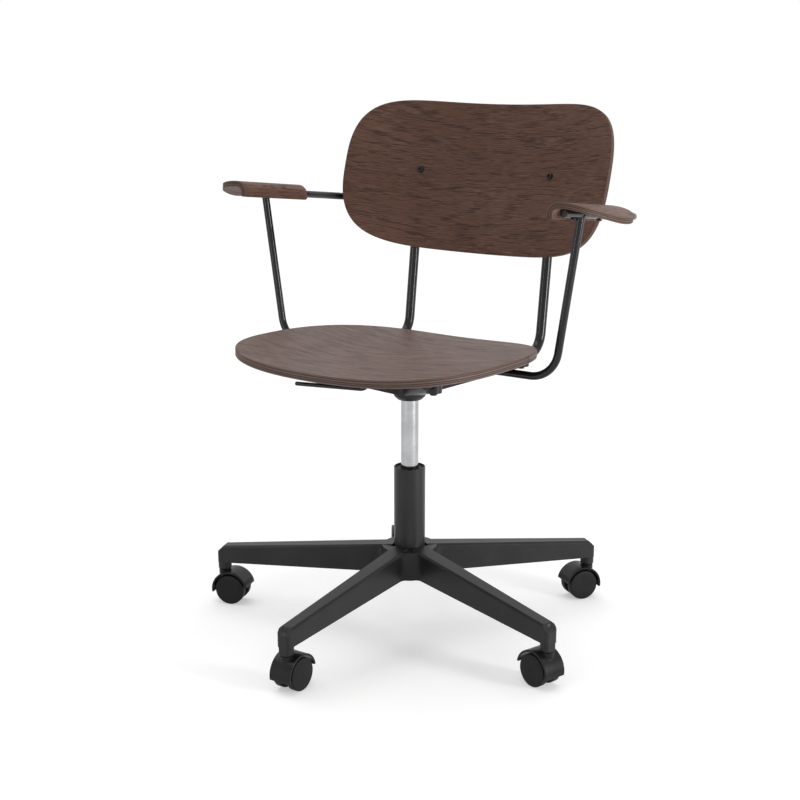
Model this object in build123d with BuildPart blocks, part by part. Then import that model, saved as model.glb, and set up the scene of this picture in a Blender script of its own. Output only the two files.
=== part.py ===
# Task chair: moulded plywood seat, backrest and armrests on a frame of bent steel tube,
# with a gas lift column on a cast five-arm base that rolls on twin-wheel casters.
# Millimetres. Origin on the floor on the column's axis, +Z up, the sitter faces -Y, +X is the sitter's left.

import os
from math import asin, atan2, cos, degrees, pi, radians, sin, sqrt, tan

from build123d import *

os.makedirs("parts", exist_ok=True)

# Fits
RUN_CLEAR = 0.05  # radial gap of a shaft that turns or slides in its bore
SEAT_CLEAR = 0.02  # radial gap of a pressed or seated piece
WELD_GAP = 0.05  # gap at a welded or clamped contact
SIDE_CLEAR = 0.5  # side gap of a piece that turns beside another
BOLT_CLEAR = 0.3  # radial gap of a screw in a through hole

# Casters
WHEEL_D = 50.0
WHEEL_W = 12.0  # width of one wheel
WHEEL_EDGE = 2.0  # rounding of the tread's edges
WHEEL_DISC = 2.5  # thickness of the wheel's outer disc
WHEEL_RIM = 4.0  # thickness of the tread ring
WHEEL_HUB_D = 13.0
AXLE_D = 6.0
CASTER_TRAIL = 14.0  # from the stem's axis to the axle
WEB_W = 12.0  # web of the caster body between the wheels
HOOD_CLEAR = 3.5  # gap between the wheels and the hood
HOOD_WALL = 3.0
HOOD_LONG_END = 190.0  # angle about the axle where the hood ends on the stem's side
HOOD_SHORT_END = 12.0  # angle about the axle where the hood ends on the trailing side
WEB_SHORT_END = 70.0  # angle about the axle where the web ends
NECK_D = 20.0  # neck of the caster body round the stem
STEM_D = 11.0  # stem in the base
STEM_PIN_D = 8.0  # stem in the caster body
STEM_GRIP = 26.0  # length of the stem in the base
STEM_PIN_L = 22.0  # length of the stem in the caster body
FLANGE_D = 18.0
FLANGE_T = 2.0
RING_H = 4.0  # grip ring round the stem
RING_T = 0.9
RING_SPLIT = 2.0

# Five-arm base
ARM_COUNT = 5
CASTER_R = 323.0  # radius of the caster stems
BOSS_BOTTOM = 59.0  # height of the caster bosses' lower faces
BOSS_D = 22.4
BOSS_SET = 0.5  # bosses' flat inside the arms' ends
ARM_END = 9.5  # arms' ends beyond the stems
ARM_ROOT_W = 31.0
ARM_TIP_W = 23.0
ARM_TOP_ROOT = 130.5  # height of the arms' top face at the hub
ARM_TOP_TIP = 99.5  # height of the top face at the tip's bevel
TIP_ROUND = 6.0  # rounded corners of the arms' ends
TIP_BEVEL = 11.0  # bevel of the arms' outer top corner
ARM_LOW_ROOT = 84.5  # height of the arms' lower edge at the hub
ARM_LOW_TIP = 70.5  # height of the lower edge at the caster boss
BASE_HUB_D = 88.0
HUB_ROUND = 13.0  # concave rounding between two arms
WEB_DROP = 5.0  # web between two arms below the hub's top
ARM_CHAMFER = 3.0
BASE_WALL = 4.5  # wall of the arms' hollow underside
RIB_T = 4.0  # cross ribs in the arms' hollow
HOLLOWS = 3  # pockets under each arm
SCOOP_R = 10.0  # hollow in the tip's bevel
SCOOP_DEPTH = 2.2
HUB_GROOVE_W = 3.0  # groove of the hub round the column
HUB_GROOVE_DEPTH = 4.0

# Column and gas spring
COLUMN_D = 50.0
COLUMN_FOOT_D = 48.4  # foot of the taper in the hub
COLUMN_WALL = 2.0
COLUMN_TOP = 262.5
COLUMN_FOOT = 76.5
COLUMN_PLATE = 5.0  # bottom plate of the column tube
RIM_ROUND = 0.8
BUSH_L = 88.0
BUSH_SET = 2.5  # bush's top below the tube's rim
BUSH_LEAD = 1.5  # bevel of the bush's mouth
CYLINDER_D = 28.0
CYLINDER_WALL = 2.0
CYLINDER_CAP = 12.0  # rod guide and top cap of the cylinder
CYLINDER_BOTTOM = 154.5
CYLINDER_TAPER_L = 32.0
CYLINDER_TAPER_D = 26.4
ROD_D = 10.0
ROD_END_D = 8.0
PISTON_L = 12.0
PISTON_Z = 218.5
RACE_D = 30.0
RACE_T = 2.0
BALL_D = 4.0
BALL_COUNT = 10
BALL_RING_D = 21.0
CAGE_T = 1.6
CAGE_W = 6.0
WASHER_D = 18.0
WASHER_T = 1.5
CLIP_D = 14.0
CLIP_T = 1.2
ROD_TAIL = 6.0  # rod below the column's bottom plate
VALVE_D = 8.0
VALVE_PROUD = 6.0  # valve button above the cylinder
VALVE_L = 16.0

# Seat
SEAT_Z = 450.5  # top of the seat on the column's axis
SEAT_T = 12.0
SEAT_R = 1406.0  # radius of the seat's hollow
SEAT_TILT = 1.82  # front up
SEAT_HALF_W = 215.7
SEAT_MID = 82.6  # widest line, ahead of the column
SEAT_FRONT = 163.5  # from the widest line to the front edge
SEAT_BACK = 242.8  # from the widest line to the rear edge
SEAT_FRONT_POW = (3.39, 2.84)
SEAT_BACK_POW = (3.06, 2.25)
SEAT_EDGE = 1.5

# Backrest
BACK_Y = 231.5  # middle of the backrest's front face
BACK_Z = 700.7
BACK_LEAN = 17.26
BACK_T = 10.0
BACK_R = 516.8  # radius of the front face
BACK_HALF_W = 247.2
BACK_HALF_H = 125.0
BACK_POW = (5.93, 2.76)
BACK_EDGE = 1.5
BACK_SCREW_RISE = 6.0  # screws above the backrest's middle

# Frame tubes
UPRIGHT_X = 127.4
UPRIGHT_D = 16.0
UPRIGHT_WALL = 1.5
UPRIGHT_Y = 197.5  # upright's axis at the reference height
UPRIGHT_REF_Z = 497.0
UPRIGHT_LEAN = 7.3
UPRIGHT_BEND = 36.0
UPRIGHT_KINK = 90.0  # bend behind the backrest
UPRIGHT_END = 26.0  # upright's end above the screw
RUN_FRONT = 150.0  # front end of the run under the seat
ARM_TUBE_D = 12.0
ARM_TUBE_WALL = 1.5
ARM_TUBE_X = 288.0  # hoop's legs
ARM_TUBE_Y = 5.0
ARM_TUBE_LEAN = 8.5
ARM_TUBE_BEND = 46.0
HOOP_TILT = 6.6  # front up
HOOP_DROP = 49.0  # hoop below the backrest's screws
HOOP_LEG = 284.0
HOOP_BEND = 70.0
PLUG_T = 2.0
PLUG_IN = 9.0

# Armrests
PAD_T = 9.0
PAD_FOLD_R = 9.5  # inner radius of the fold
PAD_LIP = 6.0  # straight lip below the fold
PAD_LIP_ROUND = 5.0  # rounded lower corners of the lip
PAD_LEAF_R = 140.0  # radius of the leaf's underside
PAD_LEAF_W = 75.0  # from the tube's axis to beyond the leaf's edge
PAD_FRONT = 19.0  # armrest's front end ahead of the hoop's end
# leaf's edge from front to rear: out from the tube's axis, back from the front end
PAD_EDGE = ((-8.0, 0.0), (15.0, 1.0), (37.0, 10.0), (54.0, 36.0), (64.0, 70.0), (63.0, 104.0), (51.0, 134.0),
            (20.0, 156.0), (-8.0, 162.0))

# Seat hub, lever and fasteners
HUB_BOTTOM = 373.5
HUB_BOTTOM_D = 50.0
HUB_BEVEL = 5.0  # bevel of the hub's lower rim
HUB_TOP = 432.5
HUB_TOP_D = 66.0
SPIDER_PAD_Y = 130.0  # screws ahead of and behind the column
SPIDER_ROOT_W = 30.0
SPIDER_TIP_W = 20.0
SPIDER_LOW_ROOT = 380.5
SPIDER_LIFT = 6.0  # pads' rims above the tubes' lowest line
SPIDER_PAD_D = 24.0
SPIDER_FLOOR = 6.0  # pad under the tube
LEVER_SLOT = 8.0
VALVE_ROOM_D = 20.0  # room round the valve button
LEVER_TURN = 14.0  # lever points ahead of straight sideways
LEVER_D = 7.0
LEVER_PIVOT = 23.0
LEVER_Z = 382.0
LEVER_REACH = 197.0
LEVER_DROP_IN = 48.0  # where the lever leaves the hub's level
LEVER_DROP_OUT = 78.0  # where the lever reaches its low run
LEVER_BEND = 14.0
LEVER_BOSS_D = 10.0
LEVER_PIN_D = 4.0
LEVER_PIN_L = 26.0
LEVER_GAP = 0.3  # finger above the valve button
LEVER_FINGER_W = 6.0
LEVER_FINGER_T = 5.0
LEVER_FINGER_END = 1.0  # finger past the column's axis
SEAT_SCREW_D = 6.0
SEAT_SCREW_HEAD_D = 11.0
SEAT_SCREW_HEAD_H = 4.0
SEAT_SCREW_BITE = 8.0
BACK_SCREW_D = 6.0
BACK_SCREW_HEAD_D = 11.0
BACK_SCREW_HEAD_H = 3.2
BACK_SCREW_HEX = 4.0
PAD_SCREW_D = 4.0
PAD_SCREW_HEAD_D = 7.5
PAD_SCREW_HEAD_H = 2.5
PAD_SCREW_BITE = 5.0
PAD_SCREW_SPOTS = (24.0, -58.0)  # ahead of and behind the arm tube


def save(piece, name):
    """Label a finished piece and write it as its own file."""
    piece.part.label = name
    export_step(piece.part, f"parts/{name}.step")


def superellipse(half_width, far, near, far_pow, near_pow, count=60):
    """Points of a closed rounded outline, squarer or rounder towards its two ends."""
    points = []
    for i in range(count):
        c, s = cos(2 * pi * i / count), sin(2 * pi * i / count)
        reach, (px, py) = (far, far_pow) if s >= 0 else (near, near_pow)
        low, high = 0.5, 2.0
        for _ in range(40):
            scale = (low + high) / 2
            if abs(scale * c) ** px + abs(scale * s) ** py > 1:
                high = scale
            else:
                low = scale
        points.append((half_width * scale * c, reach * scale * s))
    return points


def cross_yz(p, p_dir, q, q_dir):
    """Point where two lines in one plane of constant X cross."""
    cross = p_dir.Y * q_dir.Z - p_dir.Z * q_dir.Y
    t = ((q.Y - p.Y) * q_dir.Z - (q.Z - p.Z) * q_dir.Y) / cross
    return p + p_dir * t


# Planes that carry the seat, the backrest and the hoop
seat_plane = Plane(origin=(0, 0, SEAT_Z), x_dir=(1, 0, 0),
                   z_dir=(0, sin(radians(SEAT_TILT)), cos(radians(SEAT_TILT))))
seat_section = Plane(origin=seat_plane.origin, x_dir=(1, 0, 0), z_dir=-seat_plane.y_dir)
back_up = Vector(0, sin(radians(BACK_LEAN)), cos(radians(BACK_LEAN)))
back_front = Vector(0, -cos(radians(BACK_LEAN)), sin(radians(BACK_LEAN)))
back_plane = Plane(origin=(0, BACK_Y, BACK_Z), x_dir=(1, 0, 0), z_dir=back_front)
back_section = Plane(origin=back_plane.origin, x_dir=(1, 0, 0), z_dir=back_up)

# Levels worked out from the driving dimensions
upright_r = UPRIGHT_D / 2
arm_tube_r = ARM_TUBE_D / 2
wheel_r = WHEEL_D / 2
hood_r = wheel_r + HOOD_CLEAR
cylinder_top = HUB_BOTTOM + CYLINDER_TAPER_L
valve_top = cylinder_top + VALVE_PROUD
race_z = COLUMN_FOOT + COLUMN_PLATE
cage_z = race_z + RACE_T
upper_race_z = cage_z + BALL_D + 2 * RUN_CLEAR
rod_shoulder = upper_race_z + RACE_T
arm_angles = [-90 + 360 / ARM_COUNT * i for i in range(ARM_COUNT)]

# Run of the upright tubes under the seat: the tube touches the seat's curved underside
run_level = SEAT_R - sqrt((SEAT_R + SEAT_T + upright_r + WELD_GAP) ** 2 - UPRIGHT_X ** 2)
run_dir = seat_plane.y_dir
run_front = seat_plane.from_local_coords((UPRIGHT_X, -RUN_FRONT, run_level))
upright_dir = Vector(0, sin(radians(UPRIGHT_LEAN)), cos(radians(UPRIGHT_LEAN)))
upright_ref = Vector(UPRIGHT_X, UPRIGHT_Y, UPRIGHT_REF_Z)
run_corner = cross_yz(run_front, run_dir, upright_ref, upright_dir)

# Upper stretch of the uprights: the tube touches the backrest's curved rear face
back_reach = BACK_R + BACK_T + upright_r + WELD_GAP
behind = sqrt(back_reach ** 2 - UPRIGHT_X ** 2) - BACK_R
upright_screw = back_section.from_local_coords((UPRIGHT_X, behind, BACK_SCREW_RISE))
kink = cross_yz(upright_ref, upright_dir, upright_screw, back_up)
upright_top = upright_screw + back_up * UPRIGHT_END

# Hoop: its rear run touches the uprights from behind
hoop_back = behind + upright_r + arm_tube_r + WELD_GAP
hoop_origin = back_section.from_local_coords((0, hoop_back, BACK_SCREW_RISE - HOOP_DROP))
hoop_plane = Plane(origin=hoop_origin, x_dir=(1, 0, 0),
                   z_dir=(0, sin(radians(HOOP_TILT)), cos(radians(HOOP_TILT))))
leg_at_arm = (ARM_TUBE_Y - hoop_origin.Y) / cos(radians(HOOP_TILT))
arm_top = hoop_plane.from_local_coords((ARM_TUBE_X, leg_at_arm, 0))
run_at_arm = run_front + run_dir * ((ARM_TUBE_Y - run_front.Y) / run_dir.Y)
arm_corner = Vector(ARM_TUBE_X - (arm_top.Z - run_at_arm.Z) * tan(radians(ARM_TUBE_LEAN)),
                    ARM_TUBE_Y, run_at_arm.Z)


def swept_tube(points, bends, diameter, wall):
    """Bent tube along straight runs that rounded bends join."""
    with BuildPart() as tube:
        with BuildLine() as route:
            FilletPolyline(*points, radius=bends)
        with BuildSketch(Plane(origin=route.line @ 0, z_dir=route.line % 0)):
            Circle(diameter / 2)
            Circle(diameter / 2 - wall, mode=Mode.SUBTRACT)
        sweep(path=route.line)
    return tube


def mirrored(piece):
    """Mirror image of a piece for the chair's other side."""
    with BuildPart() as twin:
        mirror(piece.part, about=Plane.YZ)
    return twin


# Five-arm base: tapered arms with bevelled top edges round a hub
tip_r = CASTER_R + ARM_END
base_hub_r = BASE_HUB_D / 2
boss_r = BOSS_D / 2
stem_bore_r = STEM_D / 2 + SEAT_CLEAR


def arm_half(radius):
    """Half the width of an arm at a radius."""
    return ARM_ROOT_W / 2 + (ARM_TIP_W - ARM_ROOT_W) / 2 * radius / CASTER_R


def arm_level(radius, root, tip):
    """Height at a radius of a face that slopes evenly from the hub to the caster."""
    return root + (tip - root) * (radius - base_hub_r) / (CASTER_R - base_hub_r)


def arm_bar(start, end, wall, bevel):
    """Solid of one arm along +X between two radii, drawn in by a wall, open below if drawn in."""
    with BuildPart() as bar:
        for radius in (start, end):
            half = arm_half(radius) - wall
            high = arm_level(radius, ARM_TOP_ROOT, ARM_TOP_TIP) - wall
            low = arm_level(radius, ARM_LOW_ROOT, ARM_LOW_TIP) - wall
            with BuildSketch(Plane(origin=(radius, 0, 0), x_dir=(0, 1, 0), z_dir=(1, 0, 0))):
                with BuildLine():
                    Polyline((-half, low), (half, low), (half, high - bevel), (half - bevel, high),
                             (bevel - half, high), (-half, high - bevel), close=True)
                make_face()
        loft(ruled=True)
    return bar.part


with BuildSketch() as arm_plan:
    with BuildLine():
        Polyline((0, arm_half(0)), (tip_r, arm_half(tip_r)), (tip_r, -arm_half(tip_r)), (0, -arm_half(0)),
                 close=True)
    make_face()
    fillet(arm_plan.vertices().sort_by(Axis.X)[-2:], radius=TIP_ROUND)

with BuildPart() as star_base:
    solid_arm = arm_bar(COLUMN_D / 2, tip_r + BASE_WALL, 0, ARM_CHAMFER)
    with PolarLocations(0, ARM_COUNT, start_angle=arm_angles[0]):
        add(solid_arm)
    with BuildSketch(Plane.XY.offset(ARM_LOW_ROOT)):
        Circle(base_hub_r)
    extrude(amount=ARM_TOP_ROOT - ARM_LOW_ROOT)
    with BuildSketch(Plane.XY.offset(ARM_LOW_ROOT)):
        Circle(base_hub_r + 2 * HUB_ROUND)
    extrude(amount=ARM_TOP_ROOT - ARM_LOW_ROOT - WEB_DROP)
    with BuildSketch() as star:
        Circle(base_hub_r)
        with PolarLocations(0, ARM_COUNT, start_angle=arm_angles[0]):
            add(arm_plan.sketch)
        corners = star.vertices().filter_by(lambda v: Vector(v.X, v.Y).length < base_hub_r + 1)
        fillet(corners, radius=HUB_ROUND)
    extrude(amount=2 * ARM_TOP_ROOT, mode=Mode.INTERSECT)
    with BuildSketch(Plane.XZ):
        with BuildLine():
            Polyline((0, 0), (tip_r, 0), (tip_r, ARM_TOP_TIP - TIP_BEVEL),
                     (tip_r - ARM_TOP_TIP, 2 * ARM_TOP_TIP - TIP_BEVEL), (0, 2 * ARM_TOP_TIP - TIP_BEVEL),
                     close=True)
        make_face()
    revolve(axis=Axis.Z, mode=Mode.INTERSECT)
    bevel_mid = tip_r - TIP_BEVEL / 2
    scoop_out = (SCOOP_R - SCOOP_DEPTH) * sqrt(0.5)
    with PolarLocations(bevel_mid + scoop_out, ARM_COUNT, start_angle=arm_angles[0]):
        with Locations((0, 0, ARM_TOP_TIP - TIP_BEVEL / 2 + scoop_out)):
            Sphere(SCOOP_R, mode=Mode.SUBTRACT)
    with BuildSketch(Plane.XY.offset(BOSS_BOTTOM)):
        with PolarLocations(CASTER_R, ARM_COUNT, start_angle=arm_angles[0]):
            Circle(boss_r)
        with PolarLocations(tip_r - BOSS_SET + BOSS_D / 2, ARM_COUNT, start_angle=arm_angles[0]):
            Rectangle(BOSS_D, BOSS_D, mode=Mode.SUBTRACT)
    extrude(amount=ARM_LOW_TIP - BOSS_BOTTOM + BASE_WALL)
    hollow_start = base_hub_r + HUB_ROUND
    hollow_step = (CASTER_R - boss_r - BASE_WALL - hollow_start + RIB_T) / HOLLOWS
    for i in range(HOLLOWS):
        near = hollow_start + hollow_step * i
        pocket = arm_bar(near, near + hollow_step - RIB_T, BASE_WALL, 1)
        with PolarLocations(0, ARM_COUNT, start_angle=arm_angles[0]):
            add(pocket, mode=Mode.SUBTRACT)
    with BuildSketch(Plane.XY.offset(BOSS_BOTTOM)):
        with PolarLocations(CASTER_R, ARM_COUNT, start_angle=arm_angles[0]):
            Circle(stem_bore_r)
    extrude(amount=STEM_GRIP + 1, mode=Mode.SUBTRACT)
    with BuildSketch(Plane.XZ):
        with BuildLine():
            Polyline((0, COLUMN_FOOT), (COLUMN_FOOT_D / 2 + SEAT_CLEAR, COLUMN_FOOT),
                     (COLUMN_D / 2 + SEAT_CLEAR, ARM_TOP_ROOT - HUB_GROOVE_DEPTH),
                     (COLUMN_D / 2 + HUB_GROOVE_W, ARM_TOP_ROOT - HUB_GROOVE_DEPTH),
                     (COLUMN_D / 2 + HUB_GROOVE_W, ARM_TOP_ROOT), (0, ARM_TOP_ROOT), close=True)
        make_face()
    revolve(axis=Axis.Z, mode=Mode.SUBTRACT)
save(star_base, "star_base")

# Column tube with its bottom plate, tapered where it sits in the hub
bush_r = COLUMN_D / 2 - COLUMN_WALL
rod_hole_r = ROD_END_D / 2 + RUN_CLEAR
with BuildPart() as column_tube:
    with BuildSketch(Plane.XZ):
        with BuildLine():
            Polyline((rod_hole_r, COLUMN_FOOT), (COLUMN_FOOT_D / 2, COLUMN_FOOT),
                     (COLUMN_D / 2, ARM_TOP_ROOT - HUB_GROOVE_DEPTH), (COLUMN_D / 2, COLUMN_TOP),
                     (bush_r, COLUMN_TOP), (bush_r, race_z), (rod_hole_r, race_z), close=True)
        make_face()
    revolve(axis=Axis.Z)
    fillet(column_tube.edges().filter_by(GeomType.CIRCLE).group_by(Axis.Z)[-1], radius=RIM_ROUND)
save(column_tube, "column_tube")

bush_top = COLUMN_TOP - BUSH_SET
with BuildPart() as column_guide_bush:
    with BuildSketch(Plane.XY.offset(bush_top - BUSH_L)):
        Circle(bush_r - SEAT_CLEAR)
        Circle(CYLINDER_D / 2 + RUN_CLEAR, mode=Mode.SUBTRACT)
    extrude(amount=BUSH_L)
    rims = column_guide_bush.edges().filter_by(GeomType.CIRCLE)
    mouth = rims.group_by(Axis.Z)[-1].sort_by(SortBy.RADIUS)[0]
    chamfer(mouth, length=BUSH_LEAD)
save(column_guide_bush, "column_guide_bush")

# Gas spring: cylinder with rod guide and top cap, rod with piston
rod_r = ROD_D / 2
valve_bore_r = VALVE_D / 2 + RUN_CLEAR
cylinder_bore_r = CYLINDER_D / 2 - CYLINDER_WALL
with BuildPart() as gas_cylinder:
    with BuildSketch(Plane.XZ):
        with BuildLine():
            Polyline((rod_r + RUN_CLEAR, CYLINDER_BOTTOM), (CYLINDER_D / 2, CYLINDER_BOTTOM),
                     (CYLINDER_D / 2, HUB_BOTTOM), (CYLINDER_TAPER_D / 2, cylinder_top),
                     (valve_bore_r, cylinder_top), (valve_bore_r, cylinder_top - CYLINDER_CAP),
                     (cylinder_bore_r, cylinder_top - CYLINDER_CAP),
                     (cylinder_bore_r, CYLINDER_BOTTOM + CYLINDER_CAP),
                     (rod_r + RUN_CLEAR, CYLINDER_BOTTOM + CYLINDER_CAP), close=True)
        make_face()
    revolve(axis=Axis.Z)
save(gas_cylinder, "gas_cylinder")

with BuildPart() as piston_rod:
    with BuildSketch(Plane.XZ):
        with BuildLine():
            Polyline((0, COLUMN_FOOT - ROD_TAIL), (ROD_END_D / 2, COLUMN_FOOT - ROD_TAIL),
                     (ROD_END_D / 2, rod_shoulder), (rod_r, rod_shoulder),
                     (rod_r, PISTON_Z), (ROD_END_D / 2, PISTON_Z),
                     (ROD_END_D / 2, PISTON_Z + PISTON_L), (0, PISTON_Z + PISTON_L), close=True)
        make_face()
    revolve(axis=Axis.Z)
save(piston_rod, "piston_rod")


def collar(z, height, outer_r, inner_r):
    """Plain ring round the column's axis."""
    with BuildPart() as ring:
        with BuildSketch(Plane.XY.offset(z)):
            Circle(outer_r)
            Circle(inner_r, mode=Mode.SUBTRACT)
        extrude(amount=height)
    return ring


save(collar(PISTON_Z, PISTON_L, cylinder_bore_r - RUN_CLEAR, ROD_END_D / 2 + SEAT_CLEAR), "piston")

# Thrust bearing on the bottom plate
save(collar(race_z, RACE_T, RACE_D / 2, ROD_END_D / 2 + BOLT_CLEAR), "bearing_race_lower")
save(collar(upper_race_z, RACE_T, RACE_D / 2, ROD_END_D / 2 + SEAT_CLEAR), "bearing_race_upper")

ball_z = (cage_z + upper_race_z) / 2
with BuildPart() as bearing_balls:
    with PolarLocations(BALL_RING_D / 2, BALL_COUNT):
        with Locations((0, 0, ball_z)):
            Sphere(BALL_D / 2)
save(bearing_balls, "bearing_balls")

with BuildPart() as bearing_cage:
    with BuildSketch(Plane.XY.offset(ball_z - CAGE_T / 2)):
        Circle(BALL_RING_D / 2 + CAGE_W / 2)
        Circle(BALL_RING_D / 2 - CAGE_W / 2, mode=Mode.SUBTRACT)
        with PolarLocations(BALL_RING_D / 2, BALL_COUNT):
            Circle(BALL_D / 2 + RUN_CLEAR, mode=Mode.SUBTRACT)
    extrude(amount=CAGE_T)
save(bearing_cage, "bearing_cage")

washer_z = COLUMN_FOOT - RUN_CLEAR - WASHER_T
save(collar(washer_z, WASHER_T, WASHER_D / 2, ROD_END_D / 2 + SEAT_CLEAR), "rod_washer")
with BuildPart() as rod_clip:
    with BuildSketch(Plane.XY.offset(washer_z - CLIP_T)):
        Circle(CLIP_D / 2)
        Circle(ROD_END_D / 2 + SEAT_CLEAR, mode=Mode.SUBTRACT)
        with Locations((CLIP_D / 2, 0)):
            Rectangle(CLIP_D, ROD_END_D / 2, mode=Mode.SUBTRACT)
    extrude(amount=CLIP_T)
save(rod_clip, "rod_clip")

# Caster pieces, drawn round the stem's axis with the axle on the +X side
axle_plane = Plane(origin=(CASTER_TRAIL, 0, wheel_r), x_dir=(1, 0, 0), z_dir=(0, -1, 0))
hood_outer_r = hood_r + HOOD_WALL
caster_half_w = WEB_W / 2 + SIDE_CLEAR + WHEEL_W
flange_bottom = BOSS_BOTTOM - FLANGE_T
neck_top = flange_bottom - SIDE_CLEAR


def sector(radius, start, end):
    """Pie-shaped face between two angles."""
    with BuildSketch() as pie:
        with BuildLine():
            arc = CenterArc((0, 0), radius, start, end - start)
            Line((0, 0), arc @ 0)
            Line(arc @ 1, (0, 0))
        make_face()
    return pie.sketch


with BuildPart() as caster_hood:
    with BuildSketch(axle_plane):
        add(sector(hood_outer_r, WEB_SHORT_END, 180))
        Circle(WHEEL_HUB_D / 2)
    extrude(amount=WEB_W / 2, both=True)
    with BuildSketch(Plane.XY.offset(wheel_r)):
        Circle(NECK_D / 2)
    extrude(amount=neck_top - wheel_r)
    with BuildSketch(axle_plane.offset(-caster_half_w)):
        Circle(hood_r)
    extrude(amount=caster_half_w - WEB_W / 2, mode=Mode.SUBTRACT)
    with BuildSketch(axle_plane.offset(caster_half_w)):
        Circle(hood_r)
    extrude(amount=WEB_W / 2 - caster_half_w, mode=Mode.SUBTRACT)
    with BuildSketch(axle_plane):
        add(sector(hood_outer_r, HOOD_SHORT_END, HOOD_LONG_END))
        Circle(hood_r, mode=Mode.SUBTRACT)
    extrude(amount=caster_half_w, both=True)
    with BuildSketch(axle_plane):
        Circle(AXLE_D / 2 + SEAT_CLEAR)
    extrude(amount=WEB_W, both=True, mode=Mode.SUBTRACT)
    with BuildSketch(Plane.XY.offset(flange_bottom - STEM_PIN_L - SIDE_CLEAR)):
        Circle(STEM_PIN_D / 2 + RUN_CLEAR)
    extrude(amount=STEM_PIN_L + 2, mode=Mode.SUBTRACT)

axle_half = caster_half_w - WHEEL_DISC - SIDE_CLEAR
with BuildPart() as caster_axle:
    with BuildSketch(axle_plane):
        Circle(AXLE_D / 2)
    extrude(amount=axle_half, both=True)
    chamfer(caster_axle.edges(), length=AXLE_D / 12)

wheel_in = WEB_W / 2 + SIDE_CLEAR
with BuildPart() as caster_wheel:
    with BuildSketch(axle_plane.offset(wheel_in)):
        Circle(wheel_r)
    extrude(amount=WHEEL_W)
    fillet(caster_wheel.edges(), radius=WHEEL_EDGE)
    with BuildSketch(axle_plane.offset(wheel_in)):
        Circle(wheel_r - WHEEL_RIM)
        Circle(WHEEL_HUB_D / 2, mode=Mode.SUBTRACT)
    extrude(amount=WHEEL_W - WHEEL_DISC - WHEEL_EDGE, mode=Mode.SUBTRACT)
    with BuildSketch(axle_plane.offset(wheel_in)):
        Circle(AXLE_D / 2 + RUN_CLEAR)
    extrude(amount=WHEEL_W - WHEEL_DISC, mode=Mode.SUBTRACT)

with BuildPart() as caster_wheel_twin:
    mirror(caster_wheel.part, about=Plane.XZ)

with BuildPart() as caster_stem:
    with BuildSketch(Plane.XZ):
        ring_z = BOSS_BOTTOM + STEM_GRIP - 3 * RING_H
        groove_r = STEM_D / 2 - RING_T
        with BuildLine():
            Polyline((0, flange_bottom - STEM_PIN_L), (STEM_PIN_D / 2, flange_bottom - STEM_PIN_L),
                     (STEM_PIN_D / 2, flange_bottom), (FLANGE_D / 2, flange_bottom),
                     (FLANGE_D / 2, BOSS_BOTTOM), (STEM_D / 2, BOSS_BOTTOM),
                     (STEM_D / 2, ring_z), (groove_r, ring_z),
                     (groove_r, ring_z + RING_H), (STEM_D / 2, ring_z + RING_H),
                     (STEM_D / 2, BOSS_BOTTOM + STEM_GRIP - 2), (STEM_D / 2 - 2, BOSS_BOTTOM + STEM_GRIP),
                     (0, BOSS_BOTTOM + STEM_GRIP), close=True)
        make_face()
    revolve(axis=Axis.Z)

with BuildPart() as stem_ring:
    with BuildSketch(Plane.XY.offset(ring_z + SEAT_CLEAR)):
        Circle(STEM_D / 2)
        Circle(groove_r + SEAT_CLEAR, mode=Mode.SUBTRACT)
        with Locations((STEM_D / 2, 0)):
            Rectangle(STEM_D, RING_SPLIT, mode=Mode.SUBTRACT)
    extrude(amount=RING_H - 2 * SEAT_CLEAR)

caster_pieces = {"hood": caster_hood, "axle": caster_axle,
                 "wheel_left": caster_wheel, "wheel_right": caster_wheel_twin}
caster_places = []
for angle in arm_angles:
    spot = (CASTER_R * cos(radians(angle)), CASTER_R * sin(radians(angle)), 0)
    caster_places.append(Location(spot, (0, 0, angle + 180)))

for number, place in enumerate(caster_places, start=1):
    for piece_name, piece in caster_pieces.items():
        with BuildPart() as placed:
            with Locations(place):
                add(piece.part)
        save(placed, f"caster_{number}_{piece_name}")

for group_name, piece in {"caster_stems": caster_stem, "caster_stem_rings": stem_ring}.items():
    with BuildPart() as group:
        with Locations(*caster_places):
            add(piece.part)
    save(group, group_name)

# Tube frame: holes for the screws are cut once the tubes are bent
tilt_in = asin(UPRIGHT_X / back_reach)
back_normal = back_section.x_dir * sin(tilt_in) + back_section.y_dir * cos(tilt_in)
back_screw_spot = back_section.from_local_coords(
    (BACK_R * sin(tilt_in), BACK_R * cos(tilt_in) - BACK_R, BACK_SCREW_RISE)) - back_normal * WELD_GAP
back_screw_plane = Plane(origin=back_screw_spot, z_dir=-back_normal)
seat_screw_planes = [Plane(origin=seat_plane.from_local_coords((UPRIGHT_X, y, run_level)),
                           x_dir=(1, 0, 0), z_dir=seat_plane.z_dir) for y in (-SPIDER_PAD_Y, SPIDER_PAD_Y)]
seat_under = SEAT_R - sqrt((SEAT_R + SEAT_T) ** 2 - UPRIGHT_X ** 2) - run_level
seat_screw_end = seat_under + SEAT_SCREW_BITE
seat_screw_head = -upright_r - WELD_GAP - SPIDER_FLOOR
pad_screw_planes = [Plane(origin=hoop_plane.from_local_coords((ARM_TUBE_X, leg_at_arm - spot, 0)),
                          x_dir=hoop_plane.y_dir, z_dir=hoop_plane.z_dir) for spot in PAD_SCREW_SPOTS]
pad_screw_end = arm_tube_r + WELD_GAP + PAD_SCREW_BITE


def rod(plane, start, end, radius):
    """Round bar along a plane's normal, for pins, bores and screws."""
    with BuildPart() as bar:
        with BuildSketch(plane.offset(start)):
            Circle(radius)
        extrude(amount=end - start)
    return bar.part


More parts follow.
